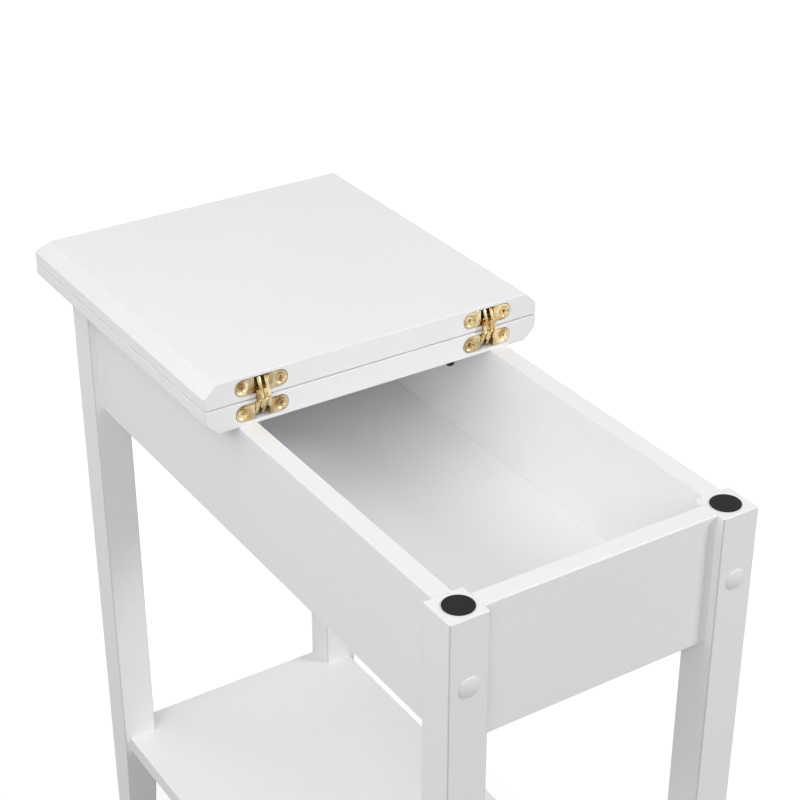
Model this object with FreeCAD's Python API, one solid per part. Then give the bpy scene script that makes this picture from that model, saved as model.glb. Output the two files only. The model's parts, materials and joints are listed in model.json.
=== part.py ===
import FreeCAD, Part
import math
import os

# Flip-top end table, in millimetres, +Z up.
#
# A narrow table with a storage box under its top. The top is two equal leaves that meet over
# the middle of the box. The fixed leaf covers the rear half. The flip leaf lies folded back on
# top of it, so the front half of the box is open. Two concealed hinges, let into the meeting
# edges, swing the flip leaf through 180 degrees, up and over, onto the felt pads of the front
# legs.
#
# Working frame: X across the table, Y along it from front (-) to rear (+), with Y = 0 in the
# middle of the gap between the closed leaves, and Z = 0 on the floor. Every piece moves by the
# same small step along Y as it is exported, so that the origin is the middle of the base of
# the whole table at rest.

Vector = FreeCAD.Vector

# --- Driving dimensions -------------------------------------------------------------------

# Whole table, with the top closed
TABLE_HEIGHT = 610.0
TOP_LENGTH = 600.0
TOP_WIDTH = 290.0
TOP_OVERHANG = 20.25

# Leaves
LEAF_THICKNESS = 19.5
LEAF_BEVEL = 10.2
LEAF_EASING = 0.6
LEAF_CORNER_EASING = 2.0
HINGE_GAP = 1.0
FOLDED_GAP = 1.2
OPENED_LEAF_STEP = 0.9

# Legs
LEG_SIDE = 30.5
LEG_FOOT_SIDE = 25.0
LEG_EASING = 1.0
LEG_END_EASING = 0.8

# Storage box
APRON_HEIGHT = 103.0
APRON_THICKNESS = 15.5
APRON_INSET = 6.8
APRON_EASING = 1.0
BOX_DEPTH = 89.7
BOX_FLOOR_THICKNESS = 6.0
GROOVE_DEPTH = 6.0
GROOVE_HEADROOM = 0.2
GROOVE_END_GAP = 0.5

# Shelf
SHELF_TOP_HEIGHT = 133.7
SHELF_THICKNESS = 15.6
SHELF_INSET = 5.5
SHELF_EASING = 1.0

# Felt pads, glued on the tops of the front legs
PAD_RADIUS = 10.9
PAD_FROM_FRONT = 14.9
PAD_FROM_SIDE = 16.4
PAD_TO_LEAF = 0.05

# Bolts, barrel nuts and caps of the side aprons
BOLT_BELOW_TOP = 52.9
BOLT_RADIUS = 3.0
BOLT_LENGTH = 50.0
BOLT_HEAD_RADIUS = 5.0
BOLT_HEAD_HEIGHT = 4.0
BOLT_SOCKET_RADIUS = 2.3
BOLT_SOCKET_DEPTH = 2.5
BOLT_TAIL_PAST_NUT = 0.5
COUNTERBORE_RADIUS = 6.0
COUNTERBORE_DEPTH = 8.0
NUT_RADIUS = 5.0
NUT_LENGTH = 12.0
CAP_RADIUS = 7.5
CAP_HEIGHT = 2.2
CAP_RIM_HEIGHT = 0.8
CAP_SPIGOT_LENGTH = 2.5

# Dowels
APRON_DOWEL_RADIUS = 4.0
APRON_DOWEL_LENGTH = 38.0
APRON_DOWEL_SPACING = 60.0
SHELF_DOWEL_RADIUS = 3.0
SHELF_DOWEL_LENGTH = 30.0
DOWEL_END_GAP = 1.0

# Steel angle braces that hold the fixed leaf down
BRACE_LEG = 38.0
BRACE_WIDTH = 16.0
BRACE_THICKNESS = 2.0
BRACE_BEND_RADIUS = 2.0
BRACE_FRONT_Y = 57.0
BRACE_REAR_Y = 200.0
BRACE_SCREW_FROM_CORNER = 13.0
BRACE_SCREW_PITCH = 16.0
BRACE_SCREW_RADIUS = 1.6
BRACE_SCREW_LENGTH = 13.0
BRACE_SCREW_HEAD_RADIUS = 3.4
BRACE_SCREW_HEAD_HEIGHT = 1.6

# Concealed hinges
HINGE_FROM_MIDDLE = 98.4
PLATE_LENGTH = 42.8
PLATE_HEIGHT = 12.7
PLATE_THICKNESS = 3.0
PLATE_TO_AXIS = 10.35
STRIP_HEIGHT = 3.9
STRIP_THICKNESS = 1.2
HOUSING_DEPTH = 18.5
HOUSING_WALL = 2.4
HOUSING_BACK = 1.5
HINGE_SCREW_SPACING = 31.8
HINGE_SCREW_RADIUS = 1.9
HINGE_SCREW_HEAD_RADIUS = 3.5
HINGE_SCREW_LENGTH = 18.0
SCREW_DISH_RADIUS = 5.1
SCREW_DISH_DEPTH = 0.9
SCREW_CROSS_LENGTH = 3.8
SCREW_CROSS_WIDTH = 0.9
SCREW_CROSS_DEPTH = 1.1

# Hooked links of the hinges, in the plane across the flip axis
LINKS_PER_SIDE = 2
LINK_THICKNESS = 2.6
LINK_SIDE_GAP = 0.3
LINK_PIN_RADIUS = 0.9
LINK_PIN_BEHIND_FACE = 3.4
LINK_PIN_FROM_AXIS = 6.0
LINK_EYE_RADIUS = 1.9
LINK_CREST_FROM_AXIS = 4.4
LINK_FRONT_AT_FAR_EDGE = 2.6
LINK_NECK_FROM_AXIS = 0.4
LINK_TIP_LENGTH = 7.6
LINK_TIP_FROM_FACE = 3.1
LINK_TIP_WIDTH = 1.7
LINK_HOOK_ANGLES = (229.0, 300.0)
LINK_TURN = 106.0

# Clearances
FIT_GAP = 0.05
HOLE_GAP = 0.25
MORTISE_GAP = 0.5
NOTCH_GAP = 0.3
LINK_GAP = 0.35
LINK_REACH_GAP = 1.6
CUT_PAST = 1.0
SHARP_ANGLE = math.radians(12)

# --- Sizes that follow ---------------------------------------------------------------------

LEG_HEIGHT = TABLE_HEIGHT - LEAF_THICKNESS
LEG_OUTER_X = TOP_WIDTH / 2 - TOP_OVERHANG
LEG_OUTER_Y = TOP_LENGTH / 2 - TOP_OVERHANG
LEG_INNER_X = LEG_OUTER_X - LEG_SIDE
LEG_INNER_Y = LEG_OUTER_Y - LEG_SIDE
LEG_MIDDLE_X = LEG_OUTER_X - LEG_SIDE / 2

APRON_OUTER_X = LEG_OUTER_X - APRON_INSET
APRON_OUTER_Y = LEG_OUTER_Y - APRON_INSET
APRON_INNER_X = APRON_OUTER_X - APRON_THICKNESS
APRON_INNER_Y = APRON_OUTER_Y - APRON_THICKNESS
APRON_MIDDLE_Y = APRON_OUTER_Y - APRON_THICKNESS / 2
APRON_BOTTOM = LEG_HEIGHT - APRON_HEIGHT
APRON_MIDDLE_Z = LEG_HEIGHT - APRON_HEIGHT / 2
BOX_FLOOR_TOP = LEG_HEIGHT - BOX_DEPTH
BOX_FLOOR_BOTTOM = BOX_FLOOR_TOP - BOX_FLOOR_THICKNESS

SHELF_BOTTOM = SHELF_TOP_HEIGHT - SHELF_THICKNESS
SHELF_MIDDLE_Z = SHELF_TOP_HEIGHT - SHELF_THICKNESS / 2
SHELF_HALF_X = LEG_OUTER_X - SHELF_INSET
SHELF_HALF_Y = LEG_OUTER_Y - SHELF_INSET

BOLT_Z = LEG_HEIGHT - BOLT_BELOW_TOP
BOLT_SEAT_Y = LEG_OUTER_Y - COUNTERBORE_DEPTH
BOLT_END_Y = BOLT_SEAT_Y - BOLT_LENGTH
NUT_Y = BOLT_END_Y + BOLT_TAIL_PAST_NUT + NUT_RADIUS
CAP_SPIGOT_RADIUS = COUNTERBORE_RADIUS - HOLE_GAP

# The flip axis runs along X. It lies above the fixed leaf by half the folded gap, and by half
# the step that the opened leaf stands proud of the fixed one.
FIXED_FACE_Z = TABLE_HEIGHT
FLIP_FACE_Z = TABLE_HEIGHT + FOLDED_GAP
AXIS_Z = TABLE_HEIGHT + (FOLDED_GAP + OPENED_LEAF_STEP) / 2
AXIS_POINT = Vector(0, 0, AXIS_Z)
LEAF_EDGE_Y = HINGE_GAP / 2
PAD_THICKNESS = OPENED_LEAF_STEP - PAD_TO_LEAF

PLATE_NEAR = PLATE_TO_AXIS - PLATE_HEIGHT / 2
PLATE_FAR = PLATE_TO_AXIS + PLATE_HEIGHT / 2
SLOT_NEAR = PLATE_NEAR + STRIP_HEIGHT
LINK_PITCH = LINK_THICKNESS + LINK_SIDE_GAP
LINK_COUNT = 2 * LINKS_PER_SIDE
LINK_PACK_WIDTH = LINK_COUNT * LINK_PITCH - LINK_SIDE_GAP
SLOT_WIDTH = LINK_PACK_WIDTH + 2 * LINK_GAP
HOUSING_WIDTH = SLOT_WIDTH + 2 * HOUSING_WALL
LINK_PIN_Y = LEAF_EDGE_Y + LINK_PIN_BEHIND_FACE
LINK_PIN_Z = AXIS_Z - LINK_PIN_FROM_AXIS
LINK_PIN_POINT = Vector(0, LINK_PIN_Y, LINK_PIN_Z)
LINK_REACH = PLATE_FAR - LINK_PIN_FROM_AXIS - LINK_REACH_GAP
LINK_CLOSED_TOP_Z = AXIS_Z - PLATE_NEAR + MORTISE_GAP - LINK_GAP

# At rest the table reaches from the front caps to the rear edge of the fixed leaf.
REST_FRONT_Y = -LEG_OUTER_Y - CAP_HEIGHT
REST_REAR_Y = TOP_LENGTH / 2
REST_MIDDLE_Y = (REST_FRONT_Y + REST_REAR_Y) / 2


# --- Shapes used more than once ------------------------------------------------------------

def block(x_range, y_range, z_range):
    """Box between the low and high values along X, Y and Z."""
    corner = Vector(x_range[0], y_range[0], z_range[0])
    return Part.makeBox(
        x_range[1] - x_range[0], y_range[1] - y_range[0], z_range[1] - z_range[0], corner
    )


def rod(radius, start, end):
    """Round bar from one point to another."""
    path = end - start
    return Part.makeCylinder(radius, path.Length, start, path)


def long_edges(shape, direction):
    """Straight edges that run close to the given direction."""
    return [
        edge for edge in shape.Edges
        if abs(edge.tangentAt(edge.FirstParameter).dot(direction)) > 0.99
    ]


def edges_at_height(shape, z):
    """Edges that lie at one height."""
    return [
        edge for edge in shape.Edges
        if abs(edge.BoundBox.ZMin - z) < 0.001 and abs(edge.BoundBox.ZMax - z) < 0.001
    ]


def sharp_edges(shape):
    """Edges where two faces meet at a clear angle."""
    sharp = []
    for edge in shape.Edges:
        middle = edge.valueAt((edge.FirstParameter + edge.LastParameter) / 2)
        normals = []
        for face in shape.Faces:
            if any(side.isSame(edge) for side in face.Edges):
                normals.append(face.normalAt(*face.Surface.parameter(middle)))
        if len(normals) == 2 and normals[0].getAngle(normals[1]) > SHARP_ANGLE:
            sharp.append(edge)
    return sharp


def left_and_right(shape):
    """A right-hand shape and its mirror image on the left."""
    return [shape, shape.mirror(Vector(0, 0, 0), Vector(1, 0, 0))]


def front_and_rear(shape):
    """A rear shape and its mirror image at the front."""
    return [shape, shape.mirror(Vector(0, 0, 0), Vector(0, 1, 0))]


def all_corners(shape):
    """A shape of the rear right corner, repeated at all four corners."""
    return [copy for side in left_and_right(shape) for copy in front_and_rear(side)]


def above_axis(shape):
    """Mirror image of a shape in the level plane through the flip axis."""
    return shape.mirror(AXIS_POINT, Vector(0, 0, 1))


def cut_all(shape, tools):
    """Shape with every tool cut from it."""
    return shape.cut(Part.makeCompound(tools))


def export(node, solids):
    """Write one node, with the origin moved to the middle of the table's base."""
    shape = Part.makeCompound(solids) if len(solids) > 1 else solids[0]
    moved = shape.translated(Vector(0, -REST_MIDDLE_Y, 0))
    moved.exportStep(os.path.join("parts", node + ".step"))
    volume = sum(solid.Volume for solid in moved.Solids)
    print(f"{node}: {len(moved.Solids)} solids, {volume / 1000:.2f} cm3, valid {moved.isValid()}")


# --- Hinges --------------------------------------------------------------------------------
#
# Each hinge half is a racetrack plate, flush in the leaf's meeting edge, with a slot that is
# open at the side away from the other leaf. The strip of plate that is left on the near side
# is thin, and a pin runs behind it between two cheeks. Hooked links lie side by side in the
# slots and turn on these pins, in turn from the lower and the upper half. Each one hooks round
# its strip, crosses its neighbours in front of the gap and ends before the other plate. As the
# flip leaf turns by half a turn, each link turns by LINK_TURN on its own pin.

def racetrack(length, height, depth, centre_z):
    """Flat bar with round ends, from the leaf's edge face into the leaf."""
    radius = height / 2
    reach = length / 2 - radius
    y_range = (LEAF_EDGE_Y, LEAF_EDGE_Y + depth)
    bar = block((-reach, reach), y_range, (centre_z - radius, centre_z + radius))
    for side in (-1, 1):
        start = Vector(side * reach, y_range[0], centre_z)
        end = Vector(side * reach, y_range[1], centre_z)
        bar = bar.fuse(rod(radius, start, end))
    return bar.removeSplitter()


def countersunk_screw(grow=0.0, shank_grow=0.0):
    """Hinge screw in its dish, pointing into the leaf; the two values widen it into its hole."""
    head_radius = HINGE_SCREW_HEAD_RADIUS + grow
    shank_radius = HINGE_SCREW_RADIUS + shank_grow
    head_depth = head_radius - shank_radius
    inward = Vector(0, 1, 0)
    top = Vector(0, LEAF_EDGE_Y + SCREW_DISH_DEPTH, 0)
    head = Part.makeCone(head_radius, shank_radius, head_depth, top, inward)
    shank = Part.makeCylinder(
        shank_radius, HINGE_SCREW_LENGTH - head_depth, top + inward * head_depth, inward
    )
    return head.fuse(shank).removeSplitter()


def hinge_screw():
    """Countersunk screw with a cross recess."""
    screw = countersunk_screw()
    top_y = LEAF_EDGE_Y + SCREW_DISH_DEPTH
    depth = (top_y - CUT_PAST, top_y + SCREW_CROSS_DEPTH)
    half_long = SCREW_CROSS_LENGTH / 2
    half_wide = SCREW_CROSS_WIDTH / 2
    level = block((-half_long, half_long), depth, (-half_wide, half_wide))
    upright = block((-half_wide, half_wide), depth, (-half_long, half_long))
    return cut_all(screw, [level, upright])


def screw_dish():
    """Dished room in the plate, from its face down to the screw's head."""
    bottom_radius = HINGE_SCREW_HEAD_RADIUS + FIT_GAP
    face = Vector(0, LEAF_EDGE_Y, 0)
    return Part.makeCone(
        SCREW_DISH_RADIUS, bottom_radius, SCREW_DISH_DEPTH, face, Vector(0, 1, 0)
    )


def screw_places():
    """Centres of the two screws of the lower hinge half, from the middle of the hinge."""
    z = AXIS_Z - PLATE_TO_AXIS
    return [Vector(side * HINGE_SCREW_SPACING / 2, 0, z) for side in (-1, 1)]


def link_pin(half_length, grow=0.0):
    """Pin of the lower links across the housing; grow widens it into its hole."""
    reach = Vector(half_length, 0, 0)
    return rod(LINK_PIN_RADIUS + grow, LINK_PIN_POINT - reach, LINK_PIN_POINT + reach)


def lower_hinge_half():
    """Plate, cheeks and back of the half in the fixed leaf, at the middle of the hinge."""
    centre_z = AXIS_Z - PLATE_TO_AXIS
    far_z = AXIS_Z - PLATE_FAR
    near_z = AXIS_Z - PLATE_NEAR
    housing_end = LEAF_EDGE_Y + HOUSING_DEPTH
    plate = racetrack(PLATE_LENGTH, PLATE_HEIGHT, PLATE_THICKNESS, centre_z)
    body = block(
        (-HOUSING_WIDTH / 2, HOUSING_WIDTH / 2),
        (LEAF_EDGE_Y + PLATE_THICKNESS / 2, housing_end),
        (far_z, near_z),
    )
    across = (-SLOT_WIDTH / 2, SLOT_WIDTH / 2)
    slot = block(
        across,
        (LEAF_EDGE_Y - CUT_PAST, LEAF_EDGE_Y + STRIP_THICKNESS),
        (far_z - CUT_PAST, AXIS_Z - SLOT_NEAR),
    )
    cavity = block(
        across,
        (LEAF_EDGE_Y + STRIP_THICKNESS, housing_end - HOUSING_BACK),
        (far_z - CUT_PAST, near_z + CUT_PAST),
    )
    cuts = [slot, cavity, link_pin(HOUSING_WIDTH, FIT_GAP)]
    for place in screw_places():
        cuts.append(screw_dish().translated(place))
        cuts.append(countersunk_screw(FIT_GAP, HOLE_GAP).translated(place))
    return cut_all(plate.fuse(body).removeSplitter(), cuts)


def lower_mortise():
    """Room in the fixed leaf for one hinge half and its screws, at the middle of the hinge."""
    centre_z = AXIS_Z - PLATE_TO_AXIS
    half_width = HOUSING_WIDTH / 2 + MORTISE_GAP
    half_height = PLATE_HEIGHT / 2 + MORTISE_GAP
    plate_room = racetrack(
        PLATE_LENGTH + 2 * MORTISE_GAP, PLATE_HEIGHT + 2 * MORTISE_GAP, PLATE_THICKNESS, centre_z
    )
    mouth = block(
        (-half_width, half_width),
        (LEAF_EDGE_Y - CUT_PAST, LEAF_EDGE_Y + HOUSING_DEPTH + MORTISE_GAP),
        (centre_z - half_height, centre_z + half_height),
    )
    pilots = [
        countersunk_screw(FIT_GAP, FIT_GAP).translated(place) for place in screw_places()
    ]
    return [plate_room, mouth] + pilots


def link_outline(points):
    """Thick plate with straight sides, its corners given as (from the axis along Y, along Z)."""
    corners = [Vector(-LINK_THICKNESS / 2, y, AXIS_Z + z) for y, z in points]
    face = Part.Face(Part.makePolygon(corners + corners[:1]))
    return face.extrude(Vector(LINK_THICKNESS, 0, 0))


def lower_link():
    """One hooked link of the lower set, at rest, at the middle of the hinge."""
    pin_z = -LINK_PIN_FROM_AXIS
    far_z = -PLATE_FAR + LINK_REACH_GAP
    wide = 2 * PLATE_FAR
    # The web turns on the pin inside the housing. Its front side runs from the crest in front
    # of the gap to the far edge of the slot.
    front = [
        (-LINK_CREST_FROM_AXIS, 0),
        (LINK_FRONT_AT_FAR_EDGE, far_z),
        (wide, far_z),
        (wide, 0),
    ]
    web = disc_on_pin(LINK_REACH).common(link_outline(front))
    # The strip needs room: a ring round the pin, open only where the hook holds the web.
    strip_reach = math.hypot(LINK_PIN_BEHIND_FACE, SLOT_NEAR - LINK_PIN_FROM_AXIS)
    hook = [(LINK_PIN_Y, pin_z)]
    for degrees in LINK_HOOK_ANGLES:
        angle = math.radians(degrees)
        hook.append((LINK_PIN_Y + wide * math.cos(angle), pin_z + wide * math.sin(angle)))
    ring = disc_on_pin(strip_reach + LINK_GAP).cut(link_outline(hook))
    beside_leaf = link_outline([
        (-LINK_NECK_FROM_AXIS, pin_z),
        (wide, pin_z),
        (wide, 0),
        (-LINK_NECK_FROM_AXIS, 0),
    ])
    # With the top closed, the part in the housing stays below the housing's near side.
    sides = (-LINK_THICKNESS, LINK_THICKNESS)
    above_closed = block(sides, (-wide, wide), (LINK_CLOSED_TOP_Z, LINK_CLOSED_TOP_Z + wide))
    above_closed = above_closed.rotated(LINK_PIN_POINT, Vector(1, 0, 0), -LINK_TURN)
    behind_neck = block(sides, (-LINK_NECK_FROM_AXIS, wide), (AXIS_Z - wide, AXIS_Z + wide))
    web = cut_all(web, [ring, beside_leaf, above_closed.common(behind_neck)])
    tip_y = LEAF_EDGE_Y - LINK_TIP_FROM_FACE
    tip = link_outline([
        (-LINK_CREST_FROM_AXIS, 0),
        (tip_y, LINK_TIP_LENGTH),
        (tip_y + LINK_TIP_WIDTH, LINK_TIP_LENGTH),
        (-LINK_NECK_FROM_AXIS, 0),
    ])
    link = web.fuse([tip, disc_on_pin(LINK_EYE_RADIUS)]).removeSplitter()
    return link.cut(link_pin(LINK_THICKNESS, FIT_GAP))


def disc_on_pin(radius):
    """Disc as thick as a link, round the pin of the lower links."""
    half = Vector(LINK_THICKNESS / 2, 0, 0)
    return rod(radius, LINK_PIN_POINT - half, LINK_PIN_POINT + half)


def link_offsets(first):
    """Places across the hinge of every second link, counted from the first one."""
    left = -(LINK_COUNT - 1) * LINK_PITCH / 2
    return [left + index * LINK_PITCH for index in range(first, LINK_COUNT, 2)]


def at_hinges(shapes):
    """Copies of the shapes at the left and the right hinge."""
    return [
        shape.translated(Vector(side * HINGE_FROM_MIDDLE, 0, 0))
        for side in (-1, 1)
        for shape in shapes
    ]


def make_hinges():
    """Hinge halves, screws, pins and links as lists of solids by node."""
    half = lower_hinge_half()
    pin = link_pin(HOUSING_WIDTH / 2)
    screws = [hinge_screw().translated(place) for place in screw_places()]
    lower = lower_link()
    upper = above_axis(lower)
    lower_links = [lower.translated(Vector(offset, 0, 0)) for offset in link_offsets(0)]
    upper_links = [upper.translated(Vector(offset, 0, 0)) for offset in link_offsets(1)]
    return {
        "hinge_halves_fixed": at_hinges([half]),
        "hinge_halves_flip": at_hinges([above_axis(half)]),
        "hinge_screws_fixed": at_hinges(screws),
        "hinge_screws_flip": at_hinges([above_axis(screw) for screw in screws]),
        "hinge_pins_fixed": at_hinges([pin]),
        "hinge_pins_flip": at_hinges([above_axis(pin)]),
        "hinge_links_lower": at_hinges(lower_links),
        "hinge_links_upper": at_hinges(upper_links),
    }


# --- Braces --------------------------------------------------------------------------------

def brace_screw_places():
    """Distances of a brace's screws from its corner."""
    return [BRACE_SCREW_FROM_CORNER, BRACE_SCREW_FROM_CORNER + BRACE_SCREW_PITCH]


def brace_screw_points(y):
    """Point on the brace and direction into the wood of each screw of a right-hand brace."""
    points = []
    for distance in brace_screw_places():
        wall_point = Vector(APRON_INNER_X - BRACE_THICKNESS, y, LEG_HEIGHT - distance)
        leaf_point = Vector(APRON_INNER_X - distance, y, LEG_HEIGHT - BRACE_THICKNESS)
        points.append((wall_point, Vector(1, 0, 0)))
        points.append((leaf_point, Vector(0, 0, 1)))
    return points


def brace_strip(length):
    """Upright strip with a round lower end, its inner side on X = 0 and its top at Z = 0."""
    radius = BRACE_WIDTH / 2
    strip = block((0, BRACE_THICKNESS), (-radius, radius), (radius - length, 0))
    tip = rod(radius, Vector(0, 0, radius - length), Vector(BRACE_THICKNESS, 0, radius - length))
    return strip.fuse(tip).removeSplitter()


def brace(y):
    """Right-hand angle brace between the side apron and the underside of the fixed leaf."""
    corner = Vector(APRON_INNER_X, y, LEG_HEIGHT)
    upright = brace_strip(BRACE_LEG).translated(corner - Vector(BRACE_THICKNESS, 0, 0))
    level = brace_strip(BRACE_LEG).rotated(Vector(0, 0, 0), Vector(0, 1, 0), 90)
    level = level.translated(corner)
    angle = upright.fuse(level).removeSplitter()
    bend = [
        edge for edge in long_edges(angle, Vector(0, 1, 0))
        if abs(edge.BoundBox.XMax - corner.x) < 0.001
        and abs(edge.BoundBox.ZMax - corner.z) < 0.001
    ]
    angle = angle.makeFillet(BRACE_BEND_RADIUS, bend)
    holes = []
    for point, inward in brace_screw_points(y):
        holes.append(
            rod(BRACE_SCREW_RADIUS + HOLE_GAP, point - inward, point + inward * BRACE_LEG)
        )
    return cut_all(angle, holes)


def brace_screws(y):
    """Round-headed screws of one right-hand brace."""
    screws = []
    for point, inward in brace_screw_points(y):
        shank = rod(BRACE_SCREW_RADIUS, point, point + inward * BRACE_SCREW_LENGTH)
        head = dome(BRACE_SCREW_HEAD_RADIUS, BRACE_SCREW_HEAD_HEIGHT, point, inward * -1)
        screws.append(shank.fuse(head).removeSplitter())
    return screws


def brace_pilots(y):
    """Holes in the wood for the screws of one right-hand brace."""
    depth = BRACE_SCREW_LENGTH + HOLE_GAP
    return [
        rod(BRACE_SCREW_RADIUS + FIT_GAP, point, point + inward * depth)
        for point, inward in brace_screw_points(y)
    ]


def dome(radius, height, base, outward):
    """Cap of a ball on a flat base."""
    ball_radius = (radius ** 2 + height ** 2) / (2 * height)
    ball = Part.makeSphere(ball_radius, base - outward * (ball_radius - height))
    return ball.common(Part.makeCylinder(radius, height, base, outward))


def all_brace_pilots():
    """Holes for the screws of all the braces."""
    pilots = brace_pilots(BRACE_FRONT_Y) + brace_pilots(BRACE_REAR_Y)
    return [copy for pilot in pilots for copy in left_and_right(pilot)]


# --- Bolts and dowels, for the rear right corner -------------------------------------------

def bolt_line(start_y, end_y, radius):
    """Round bar on the line of the rear right bolt."""
    return rod(radius, Vector(LEG_MIDDLE_X, start_y, BOLT_Z), Vector(LEG_MIDDLE_X, end_y, BOLT_Z))


def bolt():
    """Bolt with a hexagon socket, through the leg into the side apron."""
    head = bolt_line(BOLT_SEAT_Y, BOLT_SEAT_Y + BOLT_HEAD_HEIGHT, BOLT_HEAD_RADIUS)
    shank = bolt_line(BOLT_END_Y, BOLT_SEAT_Y, BOLT_RADIUS)
    top = BOLT_SEAT_Y + BOLT_HEAD_HEIGHT
    corners = []
    for index in range(7):
        angle = math.radians(60 * index)
        x = LEG_MIDDLE_X + BOLT_SOCKET_RADIUS * math.cos(angle)
        z = BOLT_Z + BOLT_SOCKET_RADIUS * math.sin(angle)
        corners.append(Vector(x, top, z))
    socket = Part.Face(Part.makePolygon(corners)).extrude(Vector(0, -BOLT_SOCKET_DEPTH, 0))
    return head.fuse(shank).removeSplitter().cut(socket)


def bolt_room_in_leg():
    """Counterbore and clearance hole for the bolt."""
    return [
        bolt_line(BOLT_SEAT_Y, LEG_OUTER_Y + CUT_PAST, COUNTERBORE_RADIUS),
        bolt_line(LEG_INNER_Y - CUT_PAST, BOLT_SEAT_Y, BOLT_RADIUS + HOLE_GAP),
    ]


def nut(grow=0.0):
    """Barrel nut, flush with the inner face of the side apron; grow widens it into its hole."""
    start = Vector(APRON_INNER_X, NUT_Y, BOLT_Z)
    end = Vector(APRON_INNER_X + NUT_LENGTH + grow, NUT_Y, BOLT_Z)
    return rod(NUT_RADIUS + grow, start, end)


def bolt_room_in_apron():
    """Clearance hole for the bolt and cross hole for the barrel nut."""
    hole = bolt_line(BOLT_END_Y - DOWEL_END_GAP, LEG_INNER_Y + CUT_PAST, BOLT_RADIUS + HOLE_GAP)
    return [hole, nut(FIT_GAP)]


def barrel_nut():
    """Barrel nut with its cross hole."""
    return nut().cut(bolt_line(NUT_Y - 2 * NUT_RADIUS, NUT_Y + 2 * NUT_RADIUS, BOLT_RADIUS + FIT_GAP))


def cap():
    """Low domed cover whose spigot fills the mouth of the counterbore."""
    rim_y = LEG_OUTER_Y + CAP_RIM_HEIGHT
    rim = bolt_line(LEG_OUTER_Y, rim_y, CAP_RADIUS)
    centre = Vector(LEG_MIDDLE_X, rim_y, BOLT_Z)
    cover = dome(CAP_RADIUS, CAP_HEIGHT - CAP_RIM_HEIGHT, centre, Vector(0, 1, 0))
    spigot = bolt_line(LEG_OUTER_Y - CAP_SPIGOT_LENGTH, LEG_OUTER_Y, CAP_SPIGOT_RADIUS)
    return rim.fuse([cover, spigot]).removeSplitter()


def apron_dowels(side_grow=0.0, end_grow=0.0):
    """Dowels between the rear apron and the right-hand leg; growing makes their holes."""
    half_length = APRON_DOWEL_LENGTH / 2 + end_grow
    dowels = []
    for side in (-1, 1):
        z = APRON_MIDDLE_Z + side * APRON_DOWEL_SPACING / 2
        start = Vector(LEG_INNER_X - half_length, APRON_MIDDLE_Y, z)
        end = Vector(LEG_INNER_X + half_length, APRON_MIDDLE_Y, z)
        dowels.append(rod(APRON_DOWEL_RADIUS + side_grow, start, end))
    return dowels


def shelf_dowel(side_grow=0.0, end_grow=0.0):
    """Dowel between the shelf and the rear right leg; growing makes its hole."""
    half_length = SHELF_DOWEL_LENGTH / 2 + end_grow
    x = (LEG_INNER_X + SHELF_HALF_X) / 2
    start = Vector(x, LEG_INNER_Y - half_length, SHELF_MIDDLE_Z)
    end = Vector(x, LEG_INNER_Y + half_length, SHELF_MIDDLE_Z)
    return rod(SHELF_DOWEL_RADIUS + side_grow, start, end)


# --- Boards --------------------------------------------------------------------------------

def leaf_board():
    """One leaf with its meeting face at Z = 0 and its body below, bevelled on three sides."""
    rear = TOP_LENGTH / 2
    half = TOP_WIDTH / 2
    board = block((-half, half), (LEAF_EDGE_Y, rear), (-LEAF_THICKNESS, 0))
    bevelled = [
        edge for edge in edges_at_height(board, -LEAF_THICKNESS)
        if edge.BoundBox.YMax > LEAF_EDGE_Y + CUT_PAST
    ]
    board = board.makeChamfer(LEAF_BEVEL, bevelled)
    upright = long_edges(board, Vector(0, 0, 1))
    rear_slopes = [
        edge for edge in board.Edges
        if edge.BoundBox.ZLength > CUT_PAST and edge.BoundBox.YLength > CUT_PAST
    ]
    board = board.makeFillet(LEAF_CORNER_EASING, upright + rear_slopes)
    return board.makeFillet(LEAF_EASING, sharp_edges(board))


def make_leaves():
    """Fixed leaf and flip leaf with their mortises and screw holes."""
    mortises = at_hinges(lower_mortise())
    fixed = leaf_board().translated(Vector(0, 0, FIXED_FACE_Z))
    flip = leaf_board().mirror(Vector(0, 0, 0), Vector(0, 0, 1))
    flip = flip.translated(Vector(0, 0, FLIP_FACE_Z))
    return {
        "fixed_leaf": [cut_all(fixed, mortises + all_brace_pilots())],
        "flip_leaf": [cut_all(flip, [above_axis(tool) for tool in mortises])],
    }


def leg_outline(side, z):
    """Square outline with rounded corners, against the outer corner of the rear right leg."""
    square = block((LEG_OUTER_X - side, LEG_OUTER_X), (LEG_OUTER_Y - side, LEG_OUTER_Y), (z, z + 1))
    square = square.makeFillet(LEG_EASING, long_edges(square, Vector(0, 0, 1)))
    return Part.Wire(Part.__sortEdges__(edges_at_height(square, z)))


def leg_blank():
    """Rear right leg: square down to the shelf, then tapered on its two inner faces."""
    straight = Part.Face(leg_outline(LEG_SIDE, SHELF_BOTTOM))
    straight = straight.extrude(Vector(0, 0, LEG_HEIGHT - SHELF_BOTTOM))
    outlines = [leg_outline(LEG_FOOT_SIDE, 0), leg_outline(LEG_SIDE, SHELF_BOTTOM)]
    tapered = Part.makeLoft(outlines, True, True)
    leg = straight.fuse(tapered)
    ends = edges_at_height(leg, LEG_HEIGHT) + edges_at_height(leg, 0)
    return leg.makeFillet(LEG_END_EASING, ends)


def make_legs():
    """The four legs with their holes."""
    holes = bolt_room_in_leg() + apron_dowels(FIT_GAP, DOWEL_END_GAP)
    holes.append(shelf_dowel(FIT_GAP, DOWEL_END_GAP))
    right_rear, right_front, left_rear, left_front = all_corners(cut_all(leg_blank(), holes))
    return {
        "leg_rear_right": [right_rear],
        "leg_front_right": [right_front],
        "leg_rear_left": [left_rear],
        "leg_front_left": [left_front],
    }


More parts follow.
